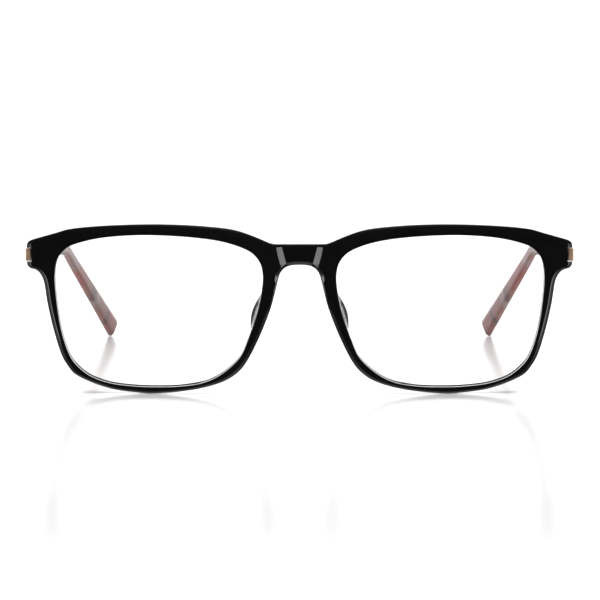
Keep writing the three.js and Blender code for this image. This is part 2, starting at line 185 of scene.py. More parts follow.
def half_outline():
    """The left half of the outline, from the top of the bridge round to its underside."""
    top = through(
        [(7.6, 39.9), (11.8, 41.65), (15.9, 43), (20.5, 43.75), (28.4, 44.3), (36.7, 44.45),
         (45, 44.2), (53.5, 43.6), (59.8, 42.8), (63.5, 41.7), (69.9, 39.75)]
    )
    under = through(
        [(69.5, 32.2), (68.2, 31.65), (66.75, 29.2), (65.8, 23.2), (64.4, 16.7), (62.6, 10.4),
         (61, 7.2), (58.1, 4.1), (50.2, 1.15), (43.2, 0.2), (37.8, 0), (30.7, 0.7), (24.3, 1.95),
         (19.1, 3.8), (15.8, 6.15), (13.65, 8.9), (11.5, 13), (9.4, 17.75), (7.35, 23.4),
         (5.5, 30.6), (5.1, 32)]
    )
    half = np.vstack([
        [(0, 39.55), (5.6, 39.55)],
        quadratic((5.6, 39.55), (6.6, 39.55), (7.6, 39.9))[1:],
        top[1:],
        quadratic((69.9, 39.75), (FRONT_EDGE, 39.3), (FRONT_EDGE, 38.3))[1:],
        quadratic((FRONT_EDGE, 33.9), (FRONT_EDGE - 0.05, 32.25), (69.5, 32.2)),
        under[1:],
        cubic((5.1, 32), (4.5, 33.4), (3.4, 34.2), (0, 34.2))[1:],
    ])
    half = respaced(half, OUTLINE_STEP)
    loop = np.vstack([half, half[-2:0:-1] * [-1, 1]])
    soft = softened(loop, OUTLINE_SOFTNESS / OUTLINE_STEP)[: len(half)]
    soft[[0, -1], 0] = 0
    return soft


def opening():
    """The edge of one lens opening, clockwise from its nasal side."""
    loop = through(
        [(9.5, 31.2), (10.35, 35.2), (13.3, 38.1), (19.75, 40.3), (28, 41.4), (38.2, 41.8),
         (46.2, 41.45), (53.1, 40.5), (59.1, 38.75), (61.5, 37.05), (63.1, 34.6), (63.68, 30.8),
         (63.5, 26.2), (62.8, 20), (61.9, 15.2), (60.4, 10.5), (58.5, 7.3), (54.7, 4.2),
         (49.5, 2.45), (43.5, 1.8), (37.7, 1.7), (31, 2.05), (25.2, 3.1), (20.3, 5.55),
         (15.65, 9.95), (13.45, 14.75), (11.25, 21.1), (10.1, 25.8)],
        closed=True,
    )
    loop = respaced(np.vstack([loop, loop[:1]]), OUTLINE_STEP)[:-1]
    return softened(loop, OUTLINE_SOFTNESS / OUTLINE_STEP)


# ---- Meshes ----

NO_AREA = 1e-14
BLOCK_FACES = (
    (0, 1, 3, 2), (4, 6, 7, 5), (0, 4, 5, 1), (2, 3, 7, 6), (0, 2, 6, 4), (1, 5, 7, 3),
)


def grid_mesh(name, sheets, welded=1e-7):
    """One mesh from sheets of points, each (rows, columns, 3), welded where they meet."""
    work = bmesh.new()
    for sheet in sheets:
        rows, columns = sheet.shape[:2]
        verts = [work.verts.new(p) for p in sheet.reshape(-1, 3)]
        for r in range(rows - 1):
            for c in range(columns - 1):
                corner = r * columns + c
                around = (corner, corner + 1, corner + columns + 1, corner + columns)
                work.faces.new([verts[i] for i in around])
    bmesh.ops.remove_doubles(work, verts=work.verts, dist=welded)
    flat = [f for f in work.faces if f.calc_area() < NO_AREA]
    bmesh.ops.delete(work, geom=flat, context="FACES")
    bmesh.ops.recalc_face_normals(work, faces=work.faces)
    return finish_mesh(name, work)


def finish_mesh(name, work):
    """Turns the working mesh into an object in the scene."""
    mesh = bpy.data.meshes.new(name)
    work.to_mesh(mesh)
    work.free()
    piece = bpy.data.objects.new(name, mesh)
    bpy.context.scene.collection.objects.link(piece)
    return piece


def shade(piece, angle):
    """Smooth shading, with a crease wherever two faces meet more sharply than this."""
    piece.data.shade_smooth()
    piece.data.set_sharp_from_angle(angle=math.radians(angle))


def add_piece(piece, body, material, node, angle=32):
    """Shades a piece, gives it its body and its finish, and hides the CAD node that it stands for.
    """
    shade(piece, angle)
    piece.data.materials.append(material)
    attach(piece, body)
    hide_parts(node)


def cut_away(piece, cutters):
    """Cuts closed meshes out of a piece for good."""
    for cutter in cutters:
        modifier = piece.modifiers.new("cut", "BOOLEAN")
        modifier.operation = "DIFFERENCE"
        modifier.solver = "EXACT"
        modifier.object = cutter
        with bpy.context.temp_override(object=piece, active_object=piece):
            bpy.ops.object.modifier_apply(modifier=modifier.name)
        bpy.data.objects.remove(cutter)


def hinge_block(low, high, side):
    """A cutting block in a hinge's frame, given by its two corners."""
    corners = [
        (x, y, z)
        for x in (low[0], high[0])
        for y in (low[1], high[1])
        for z in (low[2], high[2])
    ]
    work = bmesh.new()
    verts = [work.verts.new(p) for p in place_hinge(corners, side)]
    for face in BLOCK_FACES:
        work.faces.new([verts[i] for i in face])
    bmesh.ops.recalc_face_normals(work, faces=work.faces)
    return finish_mesh("cutter", work)


# ---- The front ----

# Across the front's edges: how far in from the outline, and how far back from the front face.
FRONT_EDGE_PROFILE = [
    (0.0, 1.25), (0.02, 1.0), (0.08, 0.8), (0.18, 0.62), (0.32, 0.48), (0.45, 0.39),
    (0.6, 0.29), (0.75, 0.19), (0.88, 0.1), (0.98, 0.045), (1.08, 0.012), (1.2, 0.0), (1.35, 0.0),
]
BACK_EDGE_PROFILE = [
    (1.3, 0.0), (1.0, 0.0), (0.75, 0.04), (0.5, 0.14), (0.28, 0.3), (0.12, 0.5), (0.03, 0.75),
    (0.0, 1.0),
]
# Round a lens opening: how far out from its edge, and how far back from the front face.
OPENING_PROFILE = [
    (0.6, 0.0), (0.3, 0.0), (0.14, 0.01), (0.07, 0.04), (0.02, 0.1), (0.0, 0.18), (0.0, 0.6),
    (0.0, 1.3), (0.01, 1.32), (0.47, 1.78), (0.47, 2.02), (0.01, 2.48), (0.0, 2.5), (0.0, 3.3),
    (0.0, 3.46), (0.04, 3.61), (0.13, 3.72), (0.26, 3.78), (0.4, 3.8), (0.6, 3.8),
]
OPENING_LIP = OPENING_PROFILE[0][0]
# The last part of the opening's edge, from this depth, follows the thicker back of the endpieces.
OPENING_BACK = 2.92
FACE_STEPS = 10
RIM_STEP = 0.45
JOINT_WELD = 2e-6
PARTNER_SOFTNESS = 9
WALL_ROWS = (0.33, 0.67)

# The outline's chamfer is full where the outline runs upright, and this share of it where it runs
# level. Along the underside, it is full under the bridge and narrows just below that.
CHAMFER_LEAST = 0.5
LIP_START, LIP_END = 30, 36
LIP_REACH, LIP_BLEND = 6.8, 1.5
NOSE_START, NOSE_START_BLEND = 21.5, 2.5
NOSE_END, NOSE_END_BLEND = 31.3, 0.8
NOSE_REACH, NOSE_NARROWING = 10, 0.6

# The endpieces' thicker part starts at this leaning line, through this point, within this blend.
ENDPIECE_THICKENING = 2.0
ENDPIECE_EDGE = (62.3, 39.4)
ENDPIECE_LEAN = 0.52
ENDPIECE_BLEND = 1.1

# The bridge is a tube of columns. Each column gives how far from the middle it meets the top edge
# and the underside, both along the outline, and how deep its face is sunk.
BRIDGE_SINK = 1.0
FLOOR_END = (4.35, 3.05)
SLOPE_END = (6.35, 4.4)
JOINT_END = (7.4, 7.3)
JOINT_ROWS = 14
FLOOR_COLUMNS = np.linspace(0, 0.94, 9)
# Over the slanted side: the share of its width, and the share of the sink that is left there.
SLOPE_COLUMNS = [
    (-0.04, 0.99), (0.04, 0.95), (0.12, 0.88), (0.3, 0.7), (0.5, 0.5), (0.7, 0.3), (0.88, 0.12),
    (0.96, 0.05), (1.04, 0.01),
]
FLAT_COLUMNS = [(6.75, 5.4, 0.0), (7.05, 6.3, 0.0), (*JOINT_END, 0.0)]


def bridge_columns():
    """Columns from the middle out: the flat floor, the slanted side and the flat beside it."""
    columns = [(f * FLOOR_END[0], f * FLOOR_END[1], BRIDGE_SINK) for f in FLOOR_COLUMNS]
    for f, left in SLOPE_COLUMNS:
        top, under = (a + f * (b - a) for a, b in zip(FLOOR_END, SLOPE_END))
        columns.append((top, under, BRIDGE_SINK * left))
    return columns + FLAT_COLUMNS


def back_of(u, w):
    """How far back the rear face lies: the endpieces are thicker, for the hinges."""
    inner = ENDPIECE_EDGE[0] - ENDPIECE_LEAN * (w - ENDPIECE_EDGE[1])
    t = np.clip((u - inner + ENDPIECE_BLEND) / (2 * ENDPIECE_BLEND), 0, 1)
    return FRONT_DEPTH + ENDPIECE_THICKENING * eased(t)


def chamfer_scale(point, normal):
    """How wide the chamfer is at a point of the outline, as a share of its full width."""
    u, w = point
    scale = CHAMFER_LEAST + (1 - CHAMFER_LEAST) * abs(normal[0])
    if u < NOSE_REACH:
        risen = max((w - NOSE_START) / NOSE_START_BLEND, 0)
        left = max((NOSE_END - w) / NOSE_END_BLEND, 0)
        scale *= 1 - NOSE_NARROWING * min(risen, left, 1)
    if LIP_START < w < LIP_END:
        lip = min(max((LIP_REACH - u) / LIP_BLEND, 0), 1)
        scale += (1 - scale) * lip
    return scale


def edge_section(point, normal, face):
    """One cross-section over the outline's edge, from the front face round to the back."""
    rows = []
    scale = chamfer_scale(point, normal)
    for inset, drop in FRONT_EDGE_PROFILE[::-1]:
        u, w = point + normal * inset * scale
        rows.append((u, w, face + drop * scale))
    back = [(*(point + normal * inset), drop) for inset, drop in BACK_EDGE_PROFILE]
    back = [(u, w, back_of(u, w) - drop) for u, w, drop in back[::-1]]
    start, end = rows[-1], back[0]
    wall = [tuple(np.array(start) + (np.array(end) - start) * f) for f in WALL_ROWS]
    return np.array(rows + wall + back)


def partners(stations, hole):
    """For each station round the rim, its place on the lens opening and the way out of it."""
    closed = np.vstack([hole, hole[:1]])
    along = lengths(closed)
    total = along[-1]
    out = -inwards(np.vstack([hole[-1:], hole, hole[:1]]))[1:-1]
    out = np.vstack([out, out[:1]])

    # Matched by direction from the middle of the lens, then evened out.
    hole_angles = clockwise(closed)
    angles = clockwise(stations)
    turns = np.round((hole_angles.mean() - angles.mean()) / (2 * math.pi))
    three_angles = np.concatenate([hole_angles[:-1] + 2 * math.pi * k for k in (-1, 0, 1)])
    three_lengths = np.concatenate([along[:-1] + total * k for k in (-1, 0, 1)])
    places = np.interp(angles + 2 * math.pi * turns, three_angles, three_lengths)
    steady = total * np.arange(len(places)) / len(places)
    places = (softened(places - steady, PARTNER_SOFTNESS) + steady) % total
    return at(places, along, closed), at(places, along, out)


def clockwise(points):
    """The direction of each point from the middle of the lens, growing clockwise."""
    u, w = (points - LENS_MIDDLE).T
    return -np.unwrap(np.arctan2(w, u))


def front_frame():
    """The black front: two rims joined by the bridge."""
    outline = half_outline()
    along = lengths(outline)
    total = along[-1]
    normals = inwards(outline)
    normals[0], normals[-1] = (0, -1), (0, 1)
    face_inset = FRONT_EDGE_PROFILE[-1][0]
    back_inset = BACK_EDGE_PROFILE[0][0]

    def on_outline(distance):
        distance = np.atleast_1d(distance)
        return at(distance, along, outline), at(distance, along, normals)

    # Stations round the rim: along the outline, then back up the joint with the bridge.
    count = round((total - JOINT_END[0] - JOINT_END[1]) / RIM_STEP)
    places = np.linspace(JOINT_END[0], total - JOINT_END[1], count)
    points, directions = on_outline(places)
    edges = [edge_section(p, n, 0.0) for p, n in zip(points, directions)]
    rise = np.linspace(0, 1, JOINT_ROWS + 2)[1:-1, None]
    scales = np.array([chamfer_scale(p, n) for p, n in zip(points, directions)])[:, None]
    borders = {
        "front": points + directions * face_inset * scales,
        "back": points + directions * back_inset,
    }
    outer = {}
    for key, border in borders.items():
        joint = border[-1] + (border[0] - border[-1]) * rise
        outer[key] = np.vstack([border, joint])

    inner_points, inner_normals = partners(outer["front"], opening())

    # The rim from its front face, through the lens opening, to its back face.
    across = np.linspace(0, 1, FACE_STEPS + 1)[:, None]
    sections = []
    for front, back, inner, out in zip(outer["front"], outer["back"], inner_points, inner_normals):
        lip = inner + out * OPENING_LIP
        rows = [(u, w, 0.0) for u, w in front + (lip - front) * across]
        for outset, depth in OPENING_PROFILE[1:-1]:
            u, w = inner + out * outset
            share = max(0, depth - OPENING_BACK) / (FRONT_DEPTH - OPENING_BACK)
            rows.append((u, w, depth + (back_of(u, w) - FRONT_DEPTH) * share))
        rows += [(u, w, back_of(u, w)) for u, w in lip + (back - lip) * across]
        sections.append(rows)
    ring = np.array([*sections, sections[0]])

    # The bridge: closed loops round each column.
    loops = []
    for top_s, under_s, sink in bridge_columns():
        (top,), (top_normal,) = on_outline(top_s)
        (under,), (under_normal,) = on_outline(total - under_s)
        over = edge_section(top, top_normal, sink)[::-1]
        below = edge_section(under, under_normal, sink)
        front_rows = over[-1] + (below[0] - over[-1]) * rise
        back_rows = below[-1] + (over[0] - below[-1]) * rise
        loops.append(np.vstack([over, front_rows, below, back_rows, over[:1]]))

    sheets = []
    for side in (1, -1):
        for sheet in (ring, np.array(edges), np.array(loops)):
            sheets.append(place_front(sheet[..., 0], sheet[..., 1], sheet[..., 2], side))
    return grid_mesh("front", sheets, welded=JOINT_WELD)


# ---- Temples ----

LINE_POINTS = 1520
POINT = (0, 0, 0, 0, 0)
# How far back from an end, and how far in from the full section, its softened edge lies.
BAR_FRONT_EDGE = ((0, 0.2), (0.03, 0.1), (0.1, 0.03), (0.2, 0))
TIP_FRONT_EDGE = ((0, 0.18), (0.04, 0.08), (0.12, 0.02))
BAR_CORNERS = (0.2, 0.2)
CORE_CORNERS = (0.2, 0.3)
BORE_CORNERS = (0.3, 0.4)
TIP_CORNERS = (0.8, 1.0)
PADDLE_CORNER, PADDLE_CORNER_SHARE = 0.95, 0.3
BAR_STEP = 1.5
SHOULDER_EASE = 0.1
CORE_ROWS, PADDLE_ROWS, END_ROWS = 60, 76, 14
PADDLE_FLARE_START = 5


def temple_line():
    """Distances along the temple's centre line, with the place and the three axes at each."""
    s = np.linspace(-BAR_AHEAD, TEMPLE_LENGTH, LINE_POINTS)
    swing = INWARD_ANGLE * np.clip((s - INWARD_START) / (INWARD_END - INWARD_START), 0, 1)
    pitch = np.clip((s - BEND_START) / BEND_RADIUS, 0, BEND_ANGLE)
    level, drop = np.cos(pitch), np.sin(pitch)
    ahead = np.stack([-np.sin(swing) * level, np.cos(swing) * level, -drop], -1)
    steps = (ahead[1:] + ahead[:-1]) / 2 * (s[1] - s[0])
    place = np.vstack([[0, 0, 0], np.cumsum(steps, axis=0)]) + [BAR_X, -BAR_AHEAD, 0]
    out = np.stack([np.cos(swing), np.sin(swing), 0 * swing], -1)
    up = np.stack([-np.sin(swing) * drop, np.cos(swing) * drop, level], -1)
    share = np.clip((s - INWARD_START) / (TEMPLE_LENGTH - INWARD_START), 0, 1)
    lean = (TIP_TWIST * share)[:, None]
    across = out * np.cos(lean) + up * np.sin(lean)
    tall = up * np.cos(lean) - out * np.sin(lean)
    return s, np.hstack([place, across, tall, ahead])


LINE, LINE_AXES = temple_line()


def swept(rows, side):
    """A sheet along the temple. Each row is where, thickness, height, corner radii and slant."""
    sheet = []
    quarter = np.radians(np.arange(0, 91, 11.25))
    for s, thickness, height, corner_x, corner_y, slant in rows:
        place, across, tall, ahead = at([s], LINE, LINE_AXES)[0].reshape(4, 3)
        corner_x, corner_y = min(corner_x, thickness / 2), min(corner_y, height / 2)
        inner_x, inner_y = thickness / 2 - corner_x, height / 2 - corner_y
        ring = []
        for turn, (x, y) in enumerate(((1, 1), (-1, 1), (-1, -1), (1, -1))):
            angles = quarter + turn * math.pi / 2
            xs = x * inner_x + corner_x * np.cos(angles)
            ys = y * inner_y + corner_y * np.sin(angles)
            ring.append(np.stack([xs, ys], -1))
        ring = np.vstack([*ring, ring[0][:1]])
        lift = ring[:, 1:] / max(height / 2, 0.01)
        sheet.append(place + ring[:, :1] * across + ring[:, 1:] * tall + slant * lift * ahead)
    return place_hinge(np.array(sheet), side)


def core_height(s):
    """The core wire is a little lower beyond the tip's mouth."""
    t = min(max((s - TIP_START - CORE_TAPER_START) / CORE_TAPER_LENGTH, 0), 1)
    return CORE_HEIGHT - CORE_TAPER * eased(t)


def bar_mesh(name, side):
    """The flat bar, its front end softened, shrinking to the core wire inside the tip."""
    rows = [(-BAR_AHEAD, *POINT)]
    for back, inset in BAR_FRONT_EDGE:
        size = (BAR_THICKNESS - 2 * inset, BAR_HEIGHT - 2 * inset)
        rows.append((back - BAR_AHEAD, *size, *BAR_CORNERS, 0))
    for s in np.arange(0, SHOULDER, BAR_STEP):
        height = BAR_HEIGHT + (BAR_END_HEIGHT - BAR_HEIGHT) * s / SHOULDER
        rows.append((s, BAR_THICKNESS, height, *BAR_CORNERS, 0))
    for ease in (0, SHOULDER_EASE):
        size = (BAR_THICKNESS - ease, BAR_END_HEIGHT - ease)
        rows.append((SHOULDER - SHOULDER_EASE + ease, *size, *BAR_CORNERS, 0))
    for s in np.linspace(SHOULDER + 0.02, CORE_END, CORE_ROWS):
        rows.append((s, CORE_THICKNESS, core_height(s), *CORE_CORNERS, 0))
    rows.append((CORE_END, *POINT))
    return grid_mesh(name, [swept(rows, side)])


def tip_mesh(name, side):
    """The acetate tip: its bore for the core wire, then its outside to the rounded end."""
    bore_end = CORE_END + CORE_GAP
    rows = [(bore_end, *POINT)]
    for s in np.linspace(bore_end, TIP_START, CORE_ROWS):
        size = (CORE_THICKNESS + 2 * CORE_GAP, core_height(s) + 2 * CORE_GAP)
        rows.append((s, *size, *BORE_CORNERS, 0))
    for back, inset in TIP_FRONT_EDGE:
        size = (TIP_THICKNESS - 2 * inset, TIP_HEIGHT - 2 * inset)
        rows.append((TIP_START + back, *size, *TIP_CORNERS, 0))
    rounding_start = TEMPLE_LENGTH - PADDLE_ROUNDING
    flare_start = TIP_START + PADDLE_FLARE_START
    along = np.linspace(TIP_START + 0.25, rounding_start, PADDLE_ROWS)
    around_end = PADDLE_ROUNDING * np.sin(np.linspace(0, math.pi / 2, END_ROWS))[1:]
    for s in [*along, *(rounding_start + around_end)]:
        flare = min(max((s - flare_start) / (rounding_start - flare_start), 0), 1)
        end = max(0, s - rounding_start) / PADDLE_ROUNDING
        # These powers close the end: squarely in height, and more roundly in thickness.
        height = (TIP_HEIGHT + (PADDLE_HEIGHT - TIP_HEIGHT) * flare) * max(0, 1 - end**3.2) ** 0.32
        thickness = TIP_THICKNESS * max(0, 1 - end**2.4) ** 0.45
        corners = (PADDLE_CORNER, PADDLE_CORNER_SHARE * height)
        rows.append((s, thickness, height, *corners, PADDLE_SLANT * end**2))
    return grid_mesh(name, [swept(rows, side)])


# ---- Nose pads and lenses ----

# Where a pad meets the rim: the share of its width and length, and how far back.
PAD_FRONT_EDGE = [
    (0, 0, 0), (0.5, 0.5, 0), (0.93, 0.93, 0), (0.975, 0.975, 0.03), (0.995, 0.995, 0.1),
    (1, 1, 0.25),
]
PAD_FLARE, PAD_FLARE_START = 0.028, 3
LENS_FACES = (1.05, 2.75)
LENS_INSET = 0.12
# Round a lens's edge: how far out from the opening's edge, and how far back.
LENS_RIDGE = [(-0.06, 1.1), (-0.06, 1.43), (0.35, 1.85), (0.35, 1.95), (-0.06, 2.37), (-0.06, 2.7)]


def pad_mesh(name, side):
    """A bonded pad: flat where it meets the rim, its sides drawn out to a soft rear edge."""
    around = np.radians(np.linspace(0, 360, 73))
    rows = list(PAD_FRONT_EDGE)
    for rise in np.radians(np.linspace(4, 90, 40)):
        rows.append((math.cos(rise) ** 0.25, math.cos(rise) ** 0.8, PAD_DEPTH * math.sin(rise)))
    sheet = []
    for spread, stretch, back in rows:
        x = PAD_THICKNESS / 2 * spread * np.cos(around)
        z = PAD_LENGTH / 2 * stretch * np.sin(around)
        flare = PAD_FLARE * max(0, back - PAD_FLARE_START) ** 3
        u = PAD_X + x + PAD_SPLAY * back + flare - PAD_LEAN * z
        sheet.append(place_front(u, z + PAD_HEIGHT, back + FRONT_DEPTH + BOND_GAP, side))
    return grid_mesh(name, [np.array(sheet)])


def lens_mesh(name, side):
    """A clear meniscus lens, with the ridge round its edge that holds it in the rim's groove."""
    hole = opening()[::2]
    hole = np.vstack([hole, hole[:1]])
    outwards = -inwards(np.vstack([hole[-2:-1], hole, hole[1:2]]))[1:-1]
    edge = hole - outwards * LENS_INSET
    fill = np.sin(np.linspace(0, math.pi / 2, 14))[:, None, None]
    faces = LENS_MIDDLE + (edge - LENS_MIDDLE) * fill
    rows = [(ring, LENS_FACES[0]) for ring in faces]
    rows += [(hole + outwards * reach, back) for reach, back in LENS_RIDGE]
    rows += [(ring, LENS_FACES[1]) for ring in faces[::-1]]
    sheet = [place_front(ring[:, 0], ring[:, 1], back, side) for ring, back in rows]
    return grid_mesh(name, [np.array(sheet)])


# ---- Turned pieces of the hinge ----


def lathed(name, profile, side, centre=(0, 0), lying=False):
    """A turned piece: radius and height along the screw, or along Y if it is lying."""
    around = np.radians(np.linspace(0, 360, 49))
    sheet = []
    for radius, height in profile:
        a, b = radius * np.cos(around), radius * np.sin(around)
        level = np.full_like(a, height)
        if lying:
            sheet.append(np.stack([centre[0] + a, level, centre[1] + b], -1))
        else:
            sheet.append(np.stack([centre[0] + a, centre[1] + b, level], -1))
    return grid_mesh(name, [place_hinge(np.array(sheet), side)])


PIN_RADIUS = 0.5
MIDDLE_HALF = 0.65
WASHER_THICKNESS = 0.16
WASHER_RADIUS, WASHER_EDGE = 1.2, 0.03
SLOT_HALF, SMALL_SLOT_HALF = 0.14, 0.1
OUTER_START = MIDDLE_HALF + 0.2 + WASHER_THICKNESS
OUTER_END = OUTER_START + 1.1
LEAF_BACK = -1.9
LEAF_SCREW_X, LEAF_SCREW_Z = -2.9, 1.15


def screw_mesh(name, side):
    """The hinge screw, with a rounded slotted head on top."""
    seat = OUTER_END + 0.08
    profile = [
        (0, -OUTER_END), (0.42, -OUTER_END), (PIN_RADIUS, 0.08 - OUTER_END), (PIN_RADIUS, seat),
        (0.89, seat), (0.95, seat + 0.06), (0.95, seat + 0.34), (0.92, seat + 0.43),
        (0.83, seat + 0.49), (0.65, seat + 0.53), (0.35, seat + 0.55), (0, seat + 0.55),
    ]
    screw = lathed(name, profile, side)
    low, high = (-1.2, -SLOT_HALF, seat + 0.3), (1.2, SLOT_HALF, seat + 1)
    cut_away(screw, [hinge_block(low, high, side)])
    return screw


def small_screw_mesh(name, side, end):
    """One countersunk screw of the front leaf."""
    x, z = LEAF_SCREW_X, end * LEAF_SCREW_Z
    profile = [
        (0, LEAF_BACK - 2.4), (0.3, LEAF_BACK - 2.4), (0.45, LEAF_BACK - 2.2),
        (0.45, LEAF_BACK - 0.38), (0.5, LEAF_BACK - 0.34), (0.82, LEAF_BACK - 0.06),
        (0.83, LEAF_BACK - 0.035), (0.8, LEAF_BACK - 0.02), (0, LEAF_BACK - 0.02),
    ]
    screw = lathed(name, profile, side, (x, z), lying=True)
    low = (x - 1, LEAF_BACK - 0.18, z - SMALL_SLOT_HALF)
    high = (x + 1, LEAF_BACK + 1, z + SMALL_SLOT_HALF)
    cut_away(screw, [hinge_block(low, high, side)])
    return screw


def washer_mesh(name, side, end):
    """A flat washer with a softened rim, between two knuckles of the hinge."""
    middle = end * (MIDDLE_HALF + OUTER_START) / 2
    low, high = middle - WASHER_THICKNESS / 2, middle + WASHER_THICKNESS / 2
    inner, outer, edge = PIN_RADIUS + 0.15, WASHER_RADIUS, WASHER_EDGE
    profile = [
        (inner, low), (outer - edge, low), (outer, low + edge), (outer, high - edge),
        (outer - edge, high), (inner, high), (inner, low),
    ]
    return lathed(name, profile, side)


# ---- Materials ----


def grey(level):
    return (level, level, level)


def new_material(name):
    """A material with its nodes, its links and its shader."""
    material = bpy.data.materials.new(name)
    material.use_nodes = True
    nodes = material.node_tree.nodes
    return material, nodes, material.node_tree.links, nodes["Principled BSDF"]


def noise(nodes, links, where, scale, detail, roughness=0.5, distortion=0.0):
    """Noise over the given coordinates."""
    node = nodes.new("ShaderNodeTexNoise")
    node.inputs["Scale"].default_value = scale
    node.inputs["Detail"].default_value = detail
    node.inputs["Roughness"].default_value = roughness
    node.inputs["Distortion"].default_value = distortion
    links.new(where.outputs["Vector"], node.inputs["Vector"])
    return node


def object_space(nodes, links, stretch=(1, 1, 1)):
    """Coordinates fixed to the object, in metres, stretched along its axes."""
    coordinates = nodes.new("ShaderNodeTexCoord")
    mapping = nodes.new("ShaderNodeMapping")
    mapping.inputs["Scale"].default_value = stretch
    links.new(coordinates.outputs["Object"], mapping.inputs["Vector"])
    return mapping


def ramp(nodes, links, source, stops):
    """Colours by level: each stop is a level and its colour."""
    node = nodes.new("ShaderNodeValToRGB")
    elements = node.color_ramp.elements
    while len(elements) < len(stops):
        elements.new(0.5)
    for element, (position, colour) in zip(elements, stops):
        element.position = position
        element.color = (*colour, 1)
    links.new(source, node.inputs["Fac"])
    return node


def mix(nodes, links, factor, low, high):
    """A blend of two colours by a factor."""
    node = nodes.new("ShaderNodeMix")
    node.data_type = "RGBA"
    links.new(factor, node.inputs["Factor"])
    links.new(low, node.inputs[6])
    links.new(high, node.inputs[7])
    return node.outputs[2]


def bump(nodes, links, source, shader, distance, strength):
    node = nodes.new("ShaderNodeBump")
    node.inputs["Strength"].default_value = strength
    node.inputs["Distance"].default_value = distance
    links.new(source, node.inputs["Height"])
    links.new(node.outputs["Normal"], shader.inputs["Normal"])


def black_acetate():
    """Deep black acetate, tumbled to a high polish, with faint swirls left in the gloss."""
    material, nodes, links, shader = new_material("black_acetate")
    where = object_space(nodes, links)
    depth = noise(nodes, links, where, 90, 4)
    colour = ramp(nodes, links, depth.outputs["Fac"], [
        (0.3, (0.002, 0.002, 0.0022)), (0.7, (0.0045, 0.0042, 0.0042)),
    ])
    links.new(colour.outputs["Color"], shader.inputs["Base Color"])
    swirl = noise(nodes, links, where, 380, 5, 0.6, 0.6)
    gloss = ramp(nodes, links, swirl.outputs["Fac"], [(0.3, grey(0.05)), (0.75, grey(0.1))])
    links.new(gloss.outputs["Color"], shader.inputs["Roughness"])
    shader.inputs["IOR"].default_value = 1.48
    return material


def clear_lens():
    """Coated glass: almost nothing face on, more of its gloss at a glance."""
    material, nodes, links, shader = new_material("clear_lens")
    shader.inputs["Base Color"].default_value = (1, 1, 1, 1)
    shader.inputs["Roughness"].default_value = 0.02
    glance = nodes.new("ShaderNodeLayerWeight")
    glance.inputs["Blend"].default_value = 0.3
    shown = ramp(nodes, links, glance.outputs["Facing"], [(0.3, grey(0.04)), (1, grey(0.4))])
    links.new(shown.outputs["Color"], shader.inputs["Alpha"])
    return material


def rose_gold():
    """Rose gold plating, finely brushed along the temple."""
    material, nodes, links, shader = new_material("rose_gold")
    where = object_space(nodes, links, (900, 14, 900))
    brushed = noise(nodes, links, where, 6, 4, 0.6)
    tone = ramp(nodes, links, brushed.outputs["Fac"], [
        (0.3, (0.66, 0.44, 0.3)), (0.7, (0.84, 0.6, 0.42)),
    ])
    links.new(tone.outputs["Color"], shader.inputs["Base Color"])
    shader.inputs["Metallic"].default_value = 0.6
    gloss = ramp(nodes, links, brushed.outputs["Fac"], [(0.25, grey(0.3)), (0.75, grey(0.44))])
    links.new(gloss.outputs["Color"], shader.inputs["Roughness"])
    bump(nodes, links, brushed.outputs["Fac"], shader, 0.00001, 0.3)
    return material


def screw_steel():
    """Bright screw steel with fine turning marks."""
    material, nodes, links, shader = new_material("screw_steel")
    where = object_space(nodes, links)
    marks = noise(nodes, links, where, 2500, 3)
    tone = ramp(nodes, links, marks.outputs["Fac"], [
        (0.3, (0.5, 0.48, 0.46)), (0.7, (0.66, 0.64, 0.62)),
    ])
    links.new(tone.outputs["Color"], shader.inputs["Base Color"])
    shader.inputs["Metallic"].default_value = 1
    gloss = ramp(nodes, links, marks.outputs["Fac"], [(0.3, grey(0.18)), (0.7, grey(0.3))])
    links.new(gloss.outputs["Color"], shader.inputs["Roughness"])
    return material


def washer_nylon():
    """Off-white nylon, faintly cloudy."""
    material, nodes, links, shader = new_material("washer_nylon")
    where = object_space(nodes, links)
    cloud = noise(nodes, links, where, 1200, 3)
    tone = ramp(nodes, links, cloud.outputs["Fac"], [
        (0.3, (0.74, 0.73, 0.69)), (0.7, (0.84, 0.83, 0.79)),
    ])
    links.new(tone.outputs["Color"], shader.inputs["Base Color"])
    shader.inputs["Roughness"].default_value = 0.5
    return material


CLEAR_GREY = (0.3, 0.24, 0.23)
DEEP_ROSE = (0.26, 0.05, 0.042)
ROSE_BROWN = (0.24, 0.095, 0.06)
SMOKE = (0.03, 0.018, 0.018)
ROSE_GREY = (0.25, 0.09, 0.085)
# The patches lie along the temple between these two places, in metres, and drift by this much.
PATCHES_START, PATCHES_END, PATCHES_DRIFT = 0.01, 0.084, 0.012
WISPS_SHARE = 0.35


